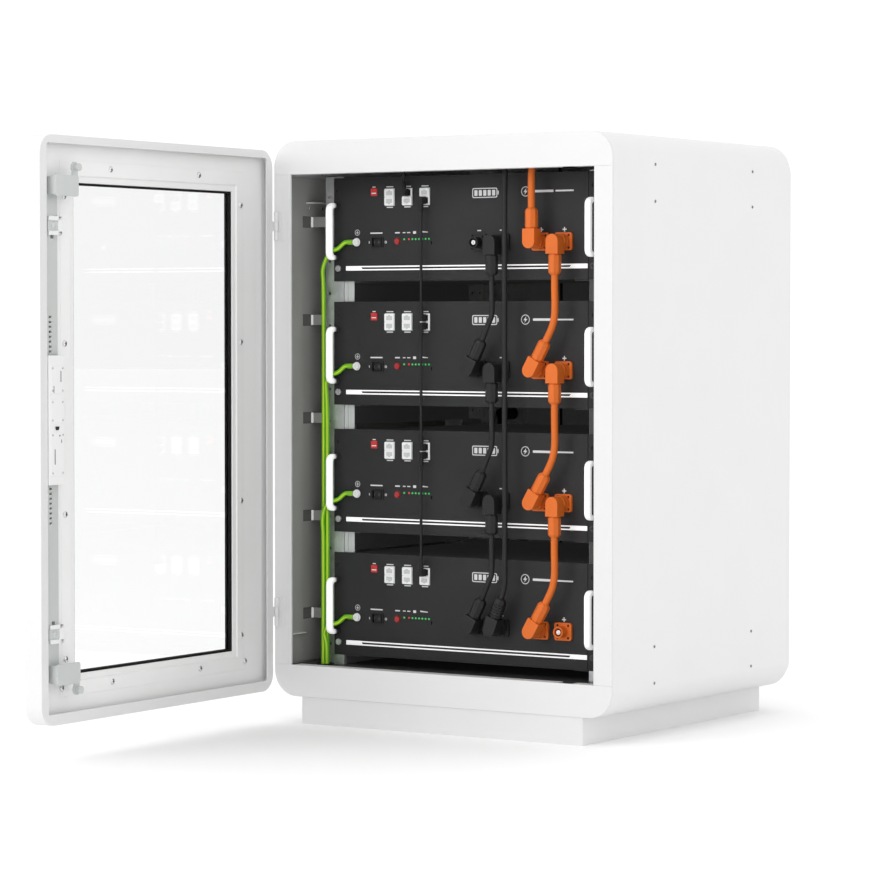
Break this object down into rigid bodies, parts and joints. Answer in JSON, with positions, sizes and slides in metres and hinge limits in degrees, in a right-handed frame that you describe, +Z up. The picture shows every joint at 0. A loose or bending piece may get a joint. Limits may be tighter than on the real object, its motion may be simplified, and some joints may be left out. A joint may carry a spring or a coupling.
{
  "type": "server rack battery",
  "caption": "Floor cabinet with a glazed front door, holding rack-mounted lithium battery modules wired in parallel with orange, black and earth cables.",
  "frame": {"origin": "centre of the plinth's underside, on the floor", "axes": "+X to the right seen from the front, +Y to the rear, +Z up; the glazed front door is hinged on the left and stands open"},
  "size_m": [0.6368, 1.1987, 0.906],
  "materials": {
    "white_paint": "satin powder coat",
    "inner_paint": "satin light grey powder coat",
    "liner_paint": "light grey powder coat",
    "zinc_steel": "bright zinc plating",
    "lock_zinc": "dull zinc plating",
    "black_steel": "fine textured black powder coat",
    "panel_paint": "fine textured charcoal powder coat",
    "polished_aluminium": "bright anodised",
    "screw_steel": "plated",
    "copper": "bare",
    "cell_case": "blue film over aluminium",
    "board_green": "coated board",
    "red_plastic": "moulded",
    "black_plastic": "moulded",
    "orange_plastic": "moulded",
    "port_white": "moulded",
    "guide_white": "moulded",
    "led_lens": "clear tinted",
    "orange_sheath": "extruded cable sheath",
    "black_sheath": "extruded cable sheath",
    "earth_sheath": "extruded cable sheath, green with a yellow stripe",
    "black_rubber": "matt",
    "window_glass": "clear float glass"
  },
  "bodies": {
    "cabinet": {"plinth": "white_paint", "outer_shell": "white_paint", "front_top_rail": "white_paint", "front_bottom_rail": "white_paint", "front_stiles": "white_paint", "rear_frame": "white_paint", "base_plate": "liner_paint", "side_liners": "liner_paint", "rack_posts": "zinc_steel", "support_rails": "black_steel", "side_screws": "screw_steel", "rack_screws": "screw_steel", "cabinet_hinge_leaves": "white_paint", "cable_glands": "black_plastic", "earth_bar": "copper", "battery_cases": "black_steel", "front_panels": "panel_paint", "battery_handles": "polished_aluminium", "trim_strips": "polished_aluminium", "cell_packs": "cell_case", "busbars": "copper", "control_boards": "board_green", "dip_switches": "red_plastic", "data_sockets": "port_white", "rocker_housings": "black_plastic", "status_leds": "led_lens", "ground_terminals": "screw_steel", "negative_sockets": "black_plastic", "positive_sockets": "orange_plastic", "positive_plugs": "orange_plastic", "negative_plugs": "black_plastic", "positive_cables": "orange_sheath", "negative_cables": "black_sheath", "data_plugs": "black_plastic", "data_cables": "black_sheath", "earth_wires": "earth_sheath"},
    "front_door": {"door_pan": "white_paint", "door_inner_frame": "inner_paint", "door_glass": "window_glass", "window_seal": "black_rubber", "door_screws": "screw_steel", "door_hinge_leaves": "white_paint", "lock_case": "lock_zinc", "rod_guides": "guide_white", "lock_escutcheon": "black_plastic"},
    "door_handle": {"front_handle": "black_plastic", "lock_pinion": "zinc_steel"},
    "upper_rod": {"upper_lock_rod": "lock_zinc"},
    "lower_rod": {"lower_lock_rod": "lock_zinc"},
    "rear_door": {"rear_door_panel": "white_paint", "rear_door_leaves": "white_paint"},
    "rear_latch": {"rear_lock": "black_plastic"},
    "rocker_1": {"rocker_1": "black_plastic"},
    "sw_button_1": {"sw_button_1": "red_plastic"},
    "rocker_2": {"rocker_2": "black_plastic"},
    "sw_button_2": {"sw_button_2": "red_plastic"},
    "rocker_3": {"rocker_3": "black_plastic"},
    "sw_button_3": {"sw_button_3": "red_plastic"},
    "rocker_4": {"rocker_4": "black_plastic"},
    "sw_button_4": {"sw_button_4": "red_plastic"}
  },
  "joints": [
    {"name": "front_door_hinge", "type": "hinge", "parent": "cabinet", "child": "front_door", "pos_m": [-0.299, -0.282, 0.471], "axis": [0, 0, -1], "range_deg": [-88, 32]},
    {"name": "front_handle_turn", "type": "hinge", "parent": "front_door", "child": "door_handle", "pos_m": [-0.31764, -0.83699, 0.486], "axis": [-0.9994, -0.0349, 0], "range_deg": [0, 90]},
    {"name": "upper_rod_slide", "type": "slide", "parent": "front_door", "child": "upper_rod", "axis": [0, 0, 1], "range_m": [0, 0.0142]},
    {"name": "lower_rod_slide", "type": "slide", "parent": "front_door", "child": "lower_rod", "axis": [0, 0, -1], "range_m": [0, 0.0142]},
    {"name": "rear_door_hinge", "type": "hinge", "parent": "cabinet", "child": "rear_door", "pos_m": [0.299, 0.282, 0.471], "axis": [0, 0, -1], "range_deg": [0, 120]},
    {"name": "rear_lock_turn", "type": "hinge", "parent": "rear_door", "child": "rear_latch", "pos_m": [-0.236, 0.3, 0.471], "axis": [0, 1, 0], "range_deg": [0, 90]},
    {"name": "rocker_1_tip", "type": "hinge", "parent": "cabinet", "child": "rocker_1", "pos_m": [-0.158, -0.203, 0.749], "axis": [0, 0, 1], "range_deg": [0, 18]},
    {"name": "rocker_2_tip", "type": "hinge", "parent": "cabinet", "child": "rocker_2", "pos_m": [-0.158, -0.203, 0.556], "axis": [0, 0, 1], "range_deg": [0, 18]},
    {"name": "rocker_3_tip", "type": "hinge", "parent": "cabinet", "child": "rocker_3", "pos_m": [-0.158, -0.203, 0.357], "axis": [0, 0, 1], "range_deg": [0, 18]},
    {"name": "rocker_4_tip", "type": "hinge", "parent": "cabinet", "child": "rocker_4", "pos_m": [-0.158, -0.203, 0.1635], "axis": [0, 0, 1], "range_deg": [0, 18]},
    {"name": "sw_button_1_press", "type": "slide", "parent": "cabinet", "child": "sw_button_1", "axis": [0, 1, 0], "range_m": [0, 0.0015], "stiffness_N_per_m": 400, "springref_m": -0.001},
    {"name": "sw_button_2_press", "type": "slide", "parent": "cabinet", "child": "sw_button_2", "axis": [0, 1, 0], "range_m": [0, 0.0015], "stiffness_N_per_m": 400, "springref_m": -0.001},
    {"name": "sw_button_3_press", "type": "slide", "parent": "cabinet", "child": "sw_button_3", "axis": [0, 1, 0], "range_m": [0, 0.0015], "stiffness_N_per_m": 400, "springref_m": -0.001},
    {"name": "sw_button_4_press", "type": "slide", "parent": "cabinet", "child": "sw_button_4", "axis": [0, 1, 0], "range_m": [0, 0.0015], "stiffness_N_per_m": 400, "springref_m": -0.001}
  ],
  "couplings": [
    {"joint": "upper_rod_slide", "follows": "front_handle_turn", "m_per_rad": 0.009},
    {"joint": "lower_rod_slide", "follows": "front_handle_turn", "m_per_rad": 0.009}
  ]
}
